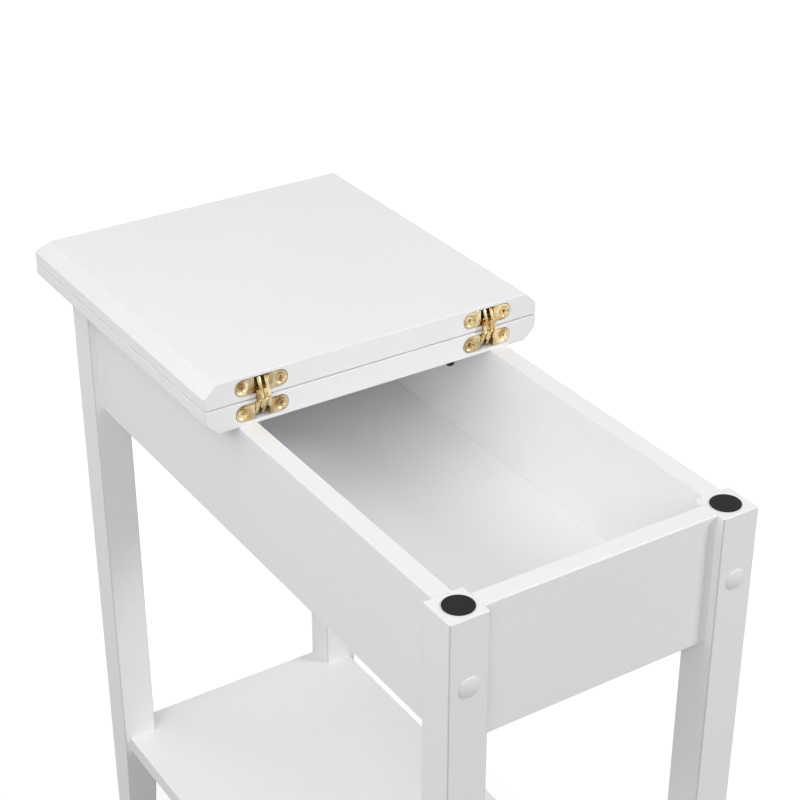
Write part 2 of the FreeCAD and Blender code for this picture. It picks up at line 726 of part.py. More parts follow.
def pads():
    """Two felt pads on which the flip leaf comes to rest, on the tops of the front legs."""
    x = LEG_OUTER_X - PAD_FROM_SIDE
    y = -LEG_OUTER_Y + PAD_FROM_FRONT
    base = Vector(x, y, LEG_HEIGHT)
    return left_and_right(rod(PAD_RADIUS, base, base + Vector(0, 0, PAD_THICKNESS)))


def make_aprons():
    """Four aprons, grooved for the floor of the box."""
    groove = block(
        (-APRON_INNER_X - GROOVE_DEPTH, APRON_INNER_X + GROOVE_DEPTH),
        (-APRON_INNER_Y - GROOVE_DEPTH, APRON_INNER_Y + GROOVE_DEPTH),
        (BOX_FLOOR_BOTTOM, BOX_FLOOR_TOP + GROOVE_HEADROOM),
    )
    heights = (APRON_BOTTOM, LEG_HEIGHT)
    side = block((APRON_INNER_X, APRON_OUTER_X), (-LEG_INNER_Y, LEG_INNER_Y), heights)
    side = side.makeFillet(APRON_EASING, long_edges(side, Vector(0, 1, 0)))
    side_holes = [copy for tool in bolt_room_in_apron() for copy in front_and_rear(tool)]
    side = cut_all(side, [groove] + side_holes)
    right, left = left_and_right(side)
    pilots = all_brace_pilots()

    end = block((-LEG_INNER_X, LEG_INNER_X), (APRON_INNER_Y, APRON_OUTER_Y), heights)
    end = end.makeFillet(APRON_EASING, long_edges(end, Vector(1, 0, 0)))
    dowel_holes = apron_dowels(FIT_GAP, DOWEL_END_GAP)
    end_holes = [copy for tool in dowel_holes for copy in left_and_right(tool)]
    rear, front = front_and_rear(cut_all(end, [groove] + end_holes))
    return {
        "apron_right": [cut_all(right, pilots)],
        "apron_left": [cut_all(left, pilots)],
        "apron_rear": [rear],
        "apron_front": [front],
    }


def make_box_floor():
    """Floor panel of the box, with its corners cut out round the legs."""
    half_x = APRON_INNER_X + GROOVE_DEPTH - GROOVE_END_GAP
    half_y = APRON_INNER_Y + GROOVE_DEPTH - GROOVE_END_GAP
    panel = block((-half_x, half_x), (-half_y, half_y), (BOX_FLOOR_BOTTOM, BOX_FLOOR_TOP))
    corner = block(
        (LEG_INNER_X - NOTCH_GAP, LEG_OUTER_X),
        (LEG_INNER_Y - NOTCH_GAP, LEG_OUTER_Y),
        (BOX_FLOOR_BOTTOM - CUT_PAST, BOX_FLOOR_TOP + CUT_PAST),
    )
    return cut_all(panel, all_corners(corner))


def make_shelf():
    """Lower shelf, notched round the legs."""
    board = block(
        (-SHELF_HALF_X, SHELF_HALF_X),
        (-SHELF_HALF_Y, SHELF_HALF_Y),
        (SHELF_BOTTOM, SHELF_TOP_HEIGHT),
    )
    rims = edges_at_height(board, SHELF_TOP_HEIGHT) + edges_at_height(board, SHELF_BOTTOM)
    board = board.makeFillet(SHELF_EASING, rims)
    notch = block(
        (LEG_INNER_X, LEG_OUTER_X),
        (LEG_INNER_Y, LEG_OUTER_Y),
        (SHELF_BOTTOM - CUT_PAST, SHELF_TOP_HEIGHT + CUT_PAST),
    )
    return cut_all(board, all_corners(notch) + all_corners(shelf_dowel(FIT_GAP, DOWEL_END_GAP)))


def make_fixings():
    """Bolts, nuts, caps, dowels, braces and brace screws as lists of solids by node."""
    dowels = [copy for dowel in apron_dowels() for copy in all_corners(dowel)]
    braces = [brace(BRACE_FRONT_Y), brace(BRACE_REAR_Y)]
    screws = brace_screws(BRACE_FRONT_Y) + brace_screws(BRACE_REAR_Y)
    return {
        "apron_bolts": all_corners(bolt()),
        "barrel_nuts": all_corners(barrel_nut()),
        "bolt_caps": all_corners(cap()),
        "apron_dowels": dowels,
        "shelf_dowels": all_corners(shelf_dowel()),
        "corner_braces": [copy for piece in braces for copy in left_and_right(piece)],
        "brace_screws": [copy for screw in screws for copy in left_and_right(screw)],
        "felt_pads": pads(),
    }


# --- The whole table -----------------------------------------------------------------------

def make_table():
    """Every node of the table as a list of solids."""
    nodes = {}
    nodes.update(make_legs())
    nodes.update(make_aprons())
    nodes["box_floor"] = [make_box_floor()]
    nodes["shelf"] = [make_shelf()]
    nodes.update(make_leaves())
    nodes.update(make_hinges())
    nodes.update(make_fixings())
    return nodes


os.makedirs("parts", exist_ok=True)
for node_name, node_solids in make_table().items():
    export(node_name, node_solids)
print(f"flip axis at Y = {-REST_MIDDLE_Y:.3f}, Z = {AXIS_Z:.3f}")
print(f"link pins at Y = {LINK_PIN_Y - REST_MIDDLE_Y:.3f}, Z = {LINK_PIN_Z:.3f}")
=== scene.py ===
# %% [markdown]
# # A narrow flip-top end table
# This lesson dresses a finished construction model of a white end table. The wooden parts, the
# brass hinges and the fixings already stand in the right place, so the work here is looks:
# a camera, a plain studio, real finishes, and small pieces whose edges and recesses matter.
# Everything is in metres, with +Z up and the origin on the floor under the table.

# %% Load the construction model
import bpy
import json
import math
from mathutils import Euler, Matrix, Vector


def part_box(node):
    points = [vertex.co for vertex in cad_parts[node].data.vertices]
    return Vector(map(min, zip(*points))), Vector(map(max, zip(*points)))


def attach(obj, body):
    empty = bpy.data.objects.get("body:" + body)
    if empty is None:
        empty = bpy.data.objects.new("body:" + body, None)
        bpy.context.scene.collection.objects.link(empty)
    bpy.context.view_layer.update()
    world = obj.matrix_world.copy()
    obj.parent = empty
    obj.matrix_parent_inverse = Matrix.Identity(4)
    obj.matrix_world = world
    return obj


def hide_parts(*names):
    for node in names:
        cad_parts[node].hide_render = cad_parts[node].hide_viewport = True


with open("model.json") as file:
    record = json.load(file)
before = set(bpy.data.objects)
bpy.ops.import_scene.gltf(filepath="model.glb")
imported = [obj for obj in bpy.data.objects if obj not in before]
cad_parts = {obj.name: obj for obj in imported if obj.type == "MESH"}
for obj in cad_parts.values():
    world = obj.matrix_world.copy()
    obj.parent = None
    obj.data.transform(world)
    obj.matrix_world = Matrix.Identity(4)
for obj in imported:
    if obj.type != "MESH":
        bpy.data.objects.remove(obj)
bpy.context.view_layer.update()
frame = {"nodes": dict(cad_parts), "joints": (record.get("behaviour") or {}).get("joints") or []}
scene = bpy.context.scene

# %% [markdown]
# The camera looks down on the open end of the box from the front left. A long lens keeps the
# legs nearly parallel. The angle is written as a heading, a tilt and a place, as a
# photographer's stand would have it, because those three are easy to change one at a time.

# %% Camera
MM = 0.001
CAMERA_PLACE = Vector((-651.2, -1053.1, 1268.2)) * MM
CAMERA_HEADING = 32.69
CAMERA_TILT_DOWN = 29.29
CAMERA_LENS = 84.61

camera_data = bpy.data.cameras.new("studio_camera")
camera_data.lens = CAMERA_LENS
camera_data.sensor_width = 36.0
camera = bpy.data.objects.new("studio_camera", camera_data)
scene.collection.objects.link(camera)
camera.location = CAMERA_PLACE
camera.rotation_euler = Euler(
    (math.radians(90 - CAMERA_TILT_DOWN), 0, -math.radians(CAMERA_HEADING))
)
scene.camera = camera
print("camera at", tuple(round(value, 3) for value in CAMERA_PLACE))

# %% [markdown]
# Colours are easiest to judge as the hex values of a paint chart, but Blender's shaders expect
# linear light. One function turns one into the other. A second small function adds a node,
# sets its options and fills or links its sockets, so that each material reads as a short list.

# %% Helpers for materials
def linear(hex_colour):
    """Linear RGBA of an sRGB hex colour."""
    values = []
    for start in (1, 3, 5):
        value = int(hex_colour[start:start + 2], 16) / 255
        values.append(value / 12.92 if value <= 0.04045 else ((value + 0.055) / 1.055) ** 2.4)
    return (*values, 1.0)


def add_node(tree, kind, options=None, inputs=None):
    """Adds a node; inputs are plain values or sockets to link from."""
    node = tree.nodes.new(kind)
    for name, value in (options or {}).items():
        setattr(node, name, value)
    for name, value in (inputs or {}).items():
        if isinstance(value, bpy.types.NodeSocket):
            tree.links.new(value, node.inputs[name])
        else:
            node.inputs[name].default_value = value
    return node


def new_material(name):
    """Empty node material and its output node."""
    material = bpy.data.materials.new(name)
    material.use_nodes = True
    material.node_tree.nodes.clear()
    output = add_node(material.node_tree, "ShaderNodeOutputMaterial")
    return material, output


# %% [markdown]
# A mix node has several sockets of one name, one for each kind of value that it can mix. So
# the colour ones are picked by their number, and the numbers get names.

# %% Colour sockets of a mix node
MIX_FIRST = 6
MIX_SECOND = 7
MIX_RESULT = 2

# %% [markdown]
# ## The studio
# The table stands on a white sweep that fades into the background. Seen directly, in a
# mirror-like surface or through glass, the sweep is plain white. Near the table, part of it is
# real paper, which keeps the table's shadow. That part fades out a little over a metre away.
# For the light that it throws up on the table it is mid grey, as a floor some way below a table
# on a stand would be, so the undersides and the lower faces stay a little darker.

# %% Floor and surroundings
FLOOR_SIZE = 12.0
FLOOR_BELOW_FEET = 0.5 * MM
WHITE = "#FFFFFF"
FLOOR_BOUNCE = "#909090"
FLOOR_GLOW_SHARE_NEAR = 0.70
FLOOR_GLOW_STRENGTH = 1.15
SHADOW_FADES_FROM = 0.45
SHADOW_FADES_TO = 1.3
SKY_STRENGTH = 0.31

bpy.ops.object.select_all(action="DESELECT")
bpy.ops.mesh.primitive_plane_add(size=FLOOR_SIZE, location=(0, 0, -FLOOR_BELOW_FEET))
floor = bpy.context.object
floor.name = "studio_floor"


def seen_directly(tree):
    """Socket that is 1 for camera, glossy and transmission rays."""
    path = add_node(tree, "ShaderNodeLightPath")
    first = add_node(tree, "ShaderNodeMath", {"operation": "MAXIMUM"}, {
        0: path.outputs["Is Camera Ray"], 1: path.outputs["Is Glossy Ray"],
    })
    both = add_node(tree, "ShaderNodeMath", {"operation": "MAXIMUM"}, {
        0: first.outputs[0], 1: path.outputs["Is Transmission Ray"],
    })
    return both.outputs[0]


sweep, output = new_material("white_paper_sweep")
tree = sweep.node_tree
bounce = add_node(tree, "ShaderNodeBsdfDiffuse", None, {"Color": linear(FLOOR_BOUNCE)})
paper = add_node(tree, "ShaderNodeBsdfDiffuse", None, {"Color": linear(WHITE)})
glow = add_node(tree, "ShaderNodeEmission", None, {
    "Color": linear(WHITE), "Strength": FLOOR_GLOW_STRENGTH,
})
place = add_node(tree, "ShaderNodeTexCoord").outputs["Object"]
from_table = add_node(tree, "ShaderNodeVectorMath", {"operation": "LENGTH"}, {0: place})
glow_share = add_node(tree, "ShaderNodeMapRange", {"clamp": True}, {
    "Value": from_table.outputs["Value"],
    "From Min": SHADOW_FADES_FROM, "From Max": SHADOW_FADES_TO,
    "To Min": FLOOR_GLOW_SHARE_NEAR, "To Max": 1.0,
})
faint = add_node(tree, "ShaderNodeMixShader", None, {
    "Fac": glow_share.outputs[0], 1: paper.outputs[0], 2: glow.outputs[0],
})
surface = add_node(tree, "ShaderNodeMixShader", None, {
    "Fac": seen_directly(tree), 1: bounce.outputs[0], 2: faint.outputs[0],
})
tree.links.new(surface.outputs[0], output.inputs["Surface"])
floor.data.materials.append(sweep)

world = bpy.data.worlds.new("studio_world")
scene.world = world
world.use_nodes = True
tree = world.node_tree
tree.nodes.clear()
sky_light = add_node(tree, "ShaderNodeBackground", None, {
    "Color": linear(WHITE), "Strength": SKY_STRENGTH,
})
sky_seen = add_node(tree, "ShaderNodeBackground", None, {
    "Color": linear(WHITE), "Strength": 1.0,
})
mixed = add_node(tree, "ShaderNodeMixShader", None, {
    "Fac": seen_directly(tree), 1: sky_light.outputs[0], 2: sky_seen.outputs[0],
})
add_node(tree, "ShaderNodeOutputWorld", None, {"Surface": mixed.outputs[0]})
print("floor and surroundings ready")

# %% [markdown]
# Five soft boxes light the table. A small key at the front right draws the narrow shadows
# beside the legs and the caps. Two wide fills from the left keep the long side apron bright,
# a nearer one looks down into the box, and one overhead evens out the folded top. The large
# ones stand far off, so that the rims in front aren't much brighter than the top behind them.
# Each line gives a direction, a distance and a size in metres, and a power in watts.

# %% Lamps
LAMP_TARGET = Vector((0.0, -0.05, 0.50))


def soft_box(name, direction, distance, size, power):
    """Square area lamp that faces the table from the given direction."""
    data = bpy.data.lights.new(name, "AREA")
    data.shape = "SQUARE"
    data.size = size
    data.energy = power
    lamp = bpy.data.objects.new(name, data)
    scene.collection.objects.link(lamp)
    towards = Vector(direction).normalized()
    lamp.location = LAMP_TARGET + towards * distance
    lamp.rotation_euler = towards.to_track_quat("Z", "Y").to_euler()


soft_box("key_front_right", (0.68, -0.535, 0.49), 3.0, 0.7, 40.0)
soft_box("fill_front_left", (-0.7, -0.7, 0.6), 5.0, 3.0, 100.0)
soft_box("fill_rear_left", (-0.7, 0.6, 0.6), 5.0, 3.0, 34.0)
soft_box("near_left", (-0.8, 0.0, 0.8), 1.3, 0.8, 4.0)
soft_box("wide_overhead", (0.0, 0.1, 1.0), 5.0, 4.0, 18.0)
print("lamps:", [light.name for light in bpy.data.lights])

# %% [markdown]
# A white box passes light on from wall to wall, and under the leaf its floor is lit by little
# else. So a light path may bounce more often off matt surfaces than it usually does. Cut
# short, the paths would leave the rear of the box far too dark.

# %% Light paths and tone
DIFFUSE_BOUNCES = 12
ALL_BOUNCES = 16

scene.cycles.diffuse_bounces = DIFFUSE_BOUNCES
scene.cycles.max_bounces = ALL_BOUNCES
scene.view_settings.view_transform = "Standard"
print("diffuse bounces:", scene.cycles.diffuse_bounces)

# %% [markdown]
# ## Finishes
# The boards and legs are sprayed with white satin lacquer. Sprayed lacquer is never quite
# flat: it dries with a fine ripple, the wood's grain lifts it in long faint lines, and its
# sheen differs a little from place to place. The three patterns are built from noise at their
# real sizes. The grain runs along each board, so there is one material for each direction.
# On the legs a thin greyer line is painted along the long corners: painted shade, the dark
# line that a rounded corner shows in this light. The legs stand square, so their rounded
# corners are just the surfaces whose normal has both an X and a Y part: the product of the
# two is zero on a flat side and rises to a half in the middle of a corner.

# %% White satin lacquer
LACQUER = "#EFEFF0"
LACQUER_SHADED = "#EBEBEC"
RIPPLE_SIZE = 1.6 * MM
RIPPLE_HEIGHT = 0.012 * MM
GRAIN_WIDTH = 0.9 * MM
GRAIN_STRETCH = 40.0
GRAIN_HEIGHT = 0.010 * MM
CLOUD_SIZE = 60 * MM
LACQUER_ROUGHNESS = (0.36, 0.46)
COATING_IOR = 1.5
# Painted shade: the greyer lacquer along the legs' long rounded corners.
CORNER_SHADE_LACQUER = "#CFCFD0"
CORNER_SHADE_FROM = 0.08
CORNER_SHADE_FULLY_AT = 0.25


def paint_corner_shade(tree, colour):
    """Colour socket with painted shade: greyer where a surface faces neither along X nor along Y.
    """
    surface = add_node(tree, "ShaderNodeNewGeometry")
    facing = add_node(tree, "ShaderNodeSeparateXYZ", None, {
        "Vector": surface.outputs["True Normal"],
    })
    slanted = add_node(tree, "ShaderNodeMath", {"operation": "MULTIPLY"}, {
        0: facing.outputs["X"], 1: facing.outputs["Y"],
    })
    size = add_node(tree, "ShaderNodeMath", {"operation": "ABSOLUTE"}, {0: slanted.outputs[0]})
    share = add_node(tree, "ShaderNodeMapRange", {"clamp": True}, {
        "Value": size.outputs[0], "From Min": CORNER_SHADE_FROM, "From Max": CORNER_SHADE_FULLY_AT,
    })
    # Painted shade: mixes the greyer lacquer in along the rounded corners.
    painted_corner_shade = add_node(tree, "ShaderNodeMix", {"data_type": "RGBA"}, {
        "Factor": share.outputs[0], MIX_FIRST: colour, MIX_SECOND: linear(CORNER_SHADE_LACQUER),
    })
    return painted_corner_shade.outputs[MIX_RESULT]


def white_lacquer(name, grain_axis, painted_corner_shade=False):
    """Sprayed white satin lacquer over wood grained along one axis, optionally with painted corner
    shade.
    """
    material, output = new_material(name)
    tree = material.node_tree
    place = add_node(tree, "ShaderNodeTexCoord").outputs["Object"]
    stretch = [1.0, 1.0, 1.0]
    stretch[grain_axis] = 1.0 / GRAIN_STRETCH
    along = add_node(tree, "ShaderNodeMapping", None, {"Vector": place, "Scale": stretch})
    grain = add_node(tree, "ShaderNodeTexNoise", None, {
        "Vector": along.outputs[0], "Scale": 1 / GRAIN_WIDTH, "Detail": 3.0, "Roughness": 0.6,
    })
    ripple = add_node(tree, "ShaderNodeTexNoise", None, {
        "Vector": place, "Scale": 1 / RIPPLE_SIZE, "Detail": 1.0,
    })
    cloud = add_node(tree, "ShaderNodeTexNoise", None, {
        "Vector": place, "Scale": 1 / CLOUD_SIZE, "Detail": 3.0,
    })
    colour = add_node(tree, "ShaderNodeMix", {"data_type": "RGBA"}, {
        "Factor": cloud.outputs["Fac"],
        MIX_FIRST: linear(LACQUER_SHADED), MIX_SECOND: linear(LACQUER),
    }).outputs[MIX_RESULT]
    if painted_corner_shade:
        colour = paint_corner_shade(tree, colour)
    smoothest, roughest = LACQUER_ROUGHNESS
    sheen = add_node(tree, "ShaderNodeMapRange", None, {
        "Value": cloud.outputs["Fac"], "To Min": smoothest, "To Max": roughest,
    })
    fine = add_node(tree, "ShaderNodeBump", None, {
        "Height": ripple.outputs["Fac"], "Distance": RIPPLE_HEIGHT, "Strength": 1.0,
    })
    both = add_node(tree, "ShaderNodeBump", None, {
        "Height": grain.outputs["Fac"], "Distance": GRAIN_HEIGHT, "Strength": 1.0,
        "Normal": fine.outputs[0],
    })
    shader = add_node(tree, "ShaderNodeBsdfPrincipled", None, {
        "Base Color": colour, "Roughness": sheen.outputs[0], "IOR": COATING_IOR,
        "Normal": both.outputs[0],
    })
    tree.links.new(shader.outputs[0], output.inputs["Surface"])
    return material


lacquer_across = white_lacquer("satin_lacquer_grain_across", 0)
lacquer_along = white_lacquer("satin_lacquer_grain_along", 1)
# The legs' lacquer carries painted shade along its rounded corners.
lacquer_upright_painted_corner_shade = white_lacquer("satin_lacquer_grain_upright_painted_corner_shade", 2, painted_corner_shade=True)
LACQUERED = {
    "fixed_leaf": lacquer_across,
    "flip_leaf": lacquer_across,
    "apron_front": lacquer_across,
    "apron_rear": lacquer_across,
    "apron_left": lacquer_along,
    "apron_right": lacquer_along,
    "shelf": lacquer_along,
    "leg_front_left": lacquer_upright_painted_corner_shade,
    "leg_front_right": lacquer_upright_painted_corner_shade,
    "leg_rear_left": lacquer_upright_painted_corner_shade,
    "leg_rear_right": lacquer_upright_painted_corner_shade,
}


def dress(node, material):
    """Gives a construction node one finish."""
    piece = frame["nodes"][node]
    piece.data.materials.clear()
    piece.data.materials.append(material)


for node, material in LACQUERED.items():
    dress(node, material)
print("lacquered:", len(LACQUERED))

# %% [markdown]
# The bottom of the box is a thin panel with a white melamine face. Its white is painted a
# little brighter and more even than the sprayed wood: painted light, which makes up for the
# light that hardly reaches it under the leaf. The steel plate that the face was pressed
# against has left a very fine pebbled texture, which takes off the shine.

# %% White panel, brightened with painted light
# Painted light: both whites are brighter than the lacquer, for light that hardly reaches here.
PANEL_WHITE_PAINTED_LIGHT = "#F7F7F7"
PANEL_DARKER_PAINTED_LIGHT = "#F4F4F4"
PEBBLE_SIZE = 0.7 * MM
PEBBLE_HEIGHT = 0.02 * MM
MELAMINE_ROUGHNESS = 0.5

panel_painted_light, output = new_material("white_panel_painted_light")
tree = panel_painted_light.node_tree
place = add_node(tree, "ShaderNodeTexCoord").outputs["Object"]
pebbles = add_node(tree, "ShaderNodeTexVoronoi", None, {"Vector": place, "Scale": 1 / PEBBLE_SIZE})
tone = add_node(tree, "ShaderNodeTexNoise", None, {
    "Vector": place, "Scale": 1 / CLOUD_SIZE, "Detail": 3.0,
})
colour = add_node(tree, "ShaderNodeMix", {"data_type": "RGBA"}, {
    "Factor": tone.outputs["Fac"],
    MIX_FIRST: linear(PANEL_DARKER_PAINTED_LIGHT), MIX_SECOND: linear(PANEL_WHITE_PAINTED_LIGHT),
})
bump = add_node(tree, "ShaderNodeBump", None, {
    "Height": pebbles.outputs["Distance"], "Distance": PEBBLE_HEIGHT, "Strength": 1.0,
})
shader = add_node(tree, "ShaderNodeBsdfPrincipled", None, {
    "Base Color": colour.outputs[MIX_RESULT], "Roughness": MELAMINE_ROUGHNESS,
    "IOR": COATING_IOR, "Normal": bump.outputs[0],
})
tree.links.new(shader.outputs[0], output.inputs["Surface"])
dress("box_floor", panel_painted_light)
print("box floor dressed")

# %% [markdown]
# The hinges are brass-plated: cast and machined, then plated bright. Plating is a thin metal
# film, so it reflects its surroundings and tints them gold. It was polished along the plate,
# which leaves hair-fine lines. They are drawn a quarter of a millimetre wide, coarser than real
# ones, which would be too fine to show. Soft patches a few millimetres wide are painted a
# browner gold: a painted reflection of the darker surroundings that parts of the hinges mirror.

# %% Bright brass
BRASS_CLEAN = "#EEDCAE"
# Painted reflection: a browner gold for darker surroundings mirrored in the brass.
BRASS_PAINTED_DARK_REFLECTION = "#B08D52"
BRASS_LINE_WIDTH = 0.25 * MM
BRASS_LINE_STRETCH = 8.0
BRASS_LINE_DEPTH = 0.004 * MM
BRASS_PATCH_SIZE = 9.0 * MM
BRASS_DARK_REFLECTION_FROM = 0.40
BRASS_DARK_REFLECTION_FULLY_AT = 0.66
BRASS_DARK_REFLECTION_SHARE = 0.9
BRASS_ROUGHNESS = (0.10, 0.22)


def bright_brass():
    """Bright brass plating, polished along X, with patches of painted dark reflection."""
    material, output = new_material("bright_brass_plating")
    tree = material.node_tree
    place = add_node(tree, "ShaderNodeTexCoord").outputs["Object"]
    along = add_node(tree, "ShaderNodeMapping", None, {
        "Vector": place, "Scale": (1 / BRASS_LINE_STRETCH, 1.0, 1.0),
    })
    lines = add_node(tree, "ShaderNodeTexNoise", None, {
        "Vector": along.outputs[0], "Scale": 1 / BRASS_LINE_WIDTH, "Detail": 2.0,
    })
    patches = add_node(tree, "ShaderNodeTexNoise", None, {
        "Vector": place, "Scale": 1 / BRASS_PATCH_SIZE, "Detail": 2.0, "Roughness": 0.4,
    })
    # Painted reflection: where the patches mix in the browner gold.
    dark_reflection = add_node(tree, "ShaderNodeMapRange", {"clamp": True}, {
        "Value": patches.outputs["Fac"],
        "From Min": BRASS_DARK_REFLECTION_FROM, "From Max": BRASS_DARK_REFLECTION_FULLY_AT,
        "To Max": BRASS_DARK_REFLECTION_SHARE,
    })
    colour = add_node(tree, "ShaderNodeMix", {"data_type": "RGBA"}, {
        "Factor": dark_reflection.outputs[0],
        MIX_FIRST: linear(BRASS_CLEAN), MIX_SECOND: linear(BRASS_PAINTED_DARK_REFLECTION),
    })
    smoothest, roughest = BRASS_ROUGHNESS
    uneven = add_node(tree, "ShaderNodeMapRange", None, {
        "Value": lines.outputs["Fac"], "To Min": smoothest, "To Max": roughest,
    })
    relief = add_node(tree, "ShaderNodeBump", None, {
        "Height": lines.outputs["Fac"], "Distance": BRASS_LINE_DEPTH, "Strength": 1.0,
    })
    shader = add_node(tree, "ShaderNodeBsdfPrincipled", None, {
        "Base Color": colour.outputs[MIX_RESULT], "Metallic": 1.0,
        "Roughness": uneven.outputs[0], "Normal": relief.outputs[0],
    })
    tree.links.new(shader.outputs[0], output.inputs["Surface"])
    return material


brass = bright_brass()
for node in ("hinge_pins_fixed", "hinge_pins_flip"):
    dress(node, brass)
print("brass ready")

# %% [markdown]
# The other finishes need one noise pattern each, whose size says what it is. Pressed felt is
# matted into tufts about half a millimetre across and reflects almost nothing. The moulded
# caps have a fine satin grain from the mould. Zinc plating is grey and a little cloudy, black
# zinc nearly black with a dull sheen, and the dowels are bare beech with short dark flecks.
# The two colours of each are the darkest and the lightest tone that its pattern can reach.

# %% Felt, plastic, steel and beech
def simple_finish(name, dark, light, pattern_size, roughness, relief,
                  metallic=0.0, stretch=(1.0, 1.0, 1.0), gloss=0.5):
    """Finish whose colour and height follow one noise pattern of a real size."""
    material, output = new_material(name)
    tree = material.node_tree
    place = add_node(tree, "ShaderNodeTexCoord").outputs["Object"]
    scaled = add_node(tree, "ShaderNodeMapping", None, {"Vector": place, "Scale": stretch})
    pattern = add_node(tree, "ShaderNodeTexNoise", None, {
        "Vector": scaled.outputs[0], "Scale": 1 / pattern_size, "Detail": 4.0,
    })
    colour = add_node(tree, "ShaderNodeMix", {"data_type": "RGBA"}, {
        "Factor": pattern.outputs["Fac"], MIX_FIRST: linear(dark), MIX_SECOND: linear(light),
    })
    bump = add_node(tree, "ShaderNodeBump", None, {
        "Height": pattern.outputs["Fac"], "Distance": relief, "Strength": 1.0,
    })
    shader = add_node(tree, "ShaderNodeBsdfPrincipled", None, {
        "Base Color": colour.outputs[MIX_RESULT], "Metallic": metallic,
        "Roughness": roughness, "Specular IOR Level": gloss, "Normal": bump.outputs[0],
    })
    tree.links.new(shader.outputs[0], output.inputs["Surface"])
    return material


felt = simple_finish(
    "pressed_black_felt", "#121213", "#2E2E2F", pattern_size=0.5 * MM, roughness=0.95,
    relief=0.15 * MM, gloss=0.25,
)
plastic = simple_finish(
    "moulded_white_plastic", "#E4E4E4", "#E9E9E9", pattern_size=3 * MM, roughness=0.42,
    relief=0.01 * MM,
)
zinc = simple_finish(
    "zinc_plated_steel", "#A9ACAE", "#C3C6C8", pattern_size=2 * MM, roughness=0.35,
    relief=0.01 * MM, metallic=1.0,
)
black_zinc = simple_finish(
    "black_zinc_steel", "#26272A", "#3A3B40", pattern_size=1.5 * MM, roughness=0.42,
    relief=0.01 * MM, metallic=0.9,
)
beech = simple_finish(
    "bare_beech", "#C49A6C", "#DDBB8E", pattern_size=1.2 * MM, roughness=0.6,
    relief=0.05 * MM, stretch=(0.1, 1.0, 1.0),
)
dress("apron_bolts", zinc)
dress("apron_dowels", beech)
dress("shelf_dowels", beech)
print("finishes ready")

# %% [markdown]
# ## Modelling tools that every piece uses
# Operators act on what is selected, so each step first clears the selection and then picks
# its object, its faces or its edges in code. Faces are told apart by where they look, and
# edges by where their two ends are, to within a hair.

# %% Selecting in code
STRAIGHT_ENOUGH = 0.99
HAIR = 0.001 * MM


def work_on(piece):
    """Makes one object the only selected and the active one."""
    bpy.ops.object.select_all(action="DESELECT")
    piece.select_set(True)
    bpy.context.view_layer.objects.active = piece


def pick_faces(piece, wanted):
    """Enters edit mode with only the faces selected for which wanted(face) is true."""
    work_on(piece)
    bpy.ops.object.mode_set(mode="EDIT")
    bpy.ops.mesh.select_mode(type="FACE")
    bpy.ops.mesh.select_all(action="DESELECT")
    bpy.ops.object.mode_set(mode="OBJECT")
    for face in piece.data.polygons:
        face.select = wanted(face)
    bpy.ops.object.mode_set(mode="EDIT")


def pick_edges(piece, wanted):
    """Enters edit mode with only the edges selected whose two ends pass wanted(a, b)."""
    work_on(piece)
    bpy.ops.object.mode_set(mode="EDIT")
    bpy.ops.mesh.select_mode(type="EDGE")
    bpy.ops.mesh.select_all(action="DESELECT")
    bpy.ops.object.mode_set(mode="OBJECT")
    points = [vertex.co for vertex in piece.data.vertices]
    for edge in piece.data.edges:
        first, second = edge.vertices
        edge.select = wanted(points[first], points[second])
    bpy.ops.object.mode_set(mode="EDIT")


def faces_up(face):
    """True for a face that looks straight up."""
    return face.normal.z > STRAIGHT_ENOUGH


def faces_down(face):
    """True for a face that looks straight down."""
    return face.normal.z < -STRAIGHT_ENOUGH


# %% [markdown]
# The screws, caps, nuts and pads are all turned, moulded or punched round an axis, so they
# start as an upright cylinder on the Z axis. Cutters for slots and recesses start as a block.
# The place goes into the mesh at once, so that heights can be read from its points.

# %% Cylinders and blocks on the Z axis
def standing_cylinder(radius, height, sides, base):
    """New upright cylinder whose lower face is at the height base."""
    bpy.ops.object.select_all(action="DESELECT")
    bpy.ops.mesh.primitive_cylinder_add(
        vertices=sides, radius=radius, depth=height, location=(0, 0, base + height / 2)
    )
    cylinder = bpy.context.object
    bpy.ops.object.transform_apply(location=True, rotation=True, scale=True)
    return cylinder


def block_on_axis(length, width, height, base, turn=0.0):
    """New block whose lower face is at the height base, turned about the axis by degrees."""
    bpy.ops.object.select_all(action="DESELECT")
    bpy.ops.mesh.primitive_cube_add(size=1.0, location=(0, 0, base + height / 2))
    block = bpy.context.object
    block.scale = (length, width, height)
    block.rotation_euler = (0, 0, math.radians(turn))
    bpy.ops.object.transform_apply(location=True, rotation=True, scale=True)
    return block


# %% [markdown]
# A slot, a hole or a recess is cut with a boolean, as a mill or a punch would cut it. What is
# needed more than once is copied, each copy with its own mesh. A finished piece keeps its
# place in its mesh, and its object stays at the origin. It then rides on a body of the frame,
# and the construction node that it stands for is hidden.

# %% Cutting, copying and finishing
SMOOTH_ANGLE = math.radians(32)


def cut_away(piece, cutter):
    """Cuts one object's volume from another and deletes the cutter."""
    cut = piece.modifiers.new("cut", "BOOLEAN")
    cut.operation = "DIFFERENCE"
    cut.solver = "EXACT"
    cut.object = cutter
    work_on(piece)
    bpy.ops.object.modifier_apply(modifier=cut.name)
    bpy.data.objects.remove(cutter)


def placed_copy(piece, name, place, turn=(0.0, 0.0, 0.0)):
    """Copy with its own mesh, turned by XYZ angles in degrees and moved to a place."""
    copy = bpy.data.objects.new(name, piece.data.copy())
    scene.collection.objects.link(copy)
    copy.rotation_euler = Euler([math.radians(angle) for angle in turn])
    copy.location = place
    work_on(copy)
    bpy.ops.object.transform_apply(location=True, rotation=True, scale=True)
    return copy


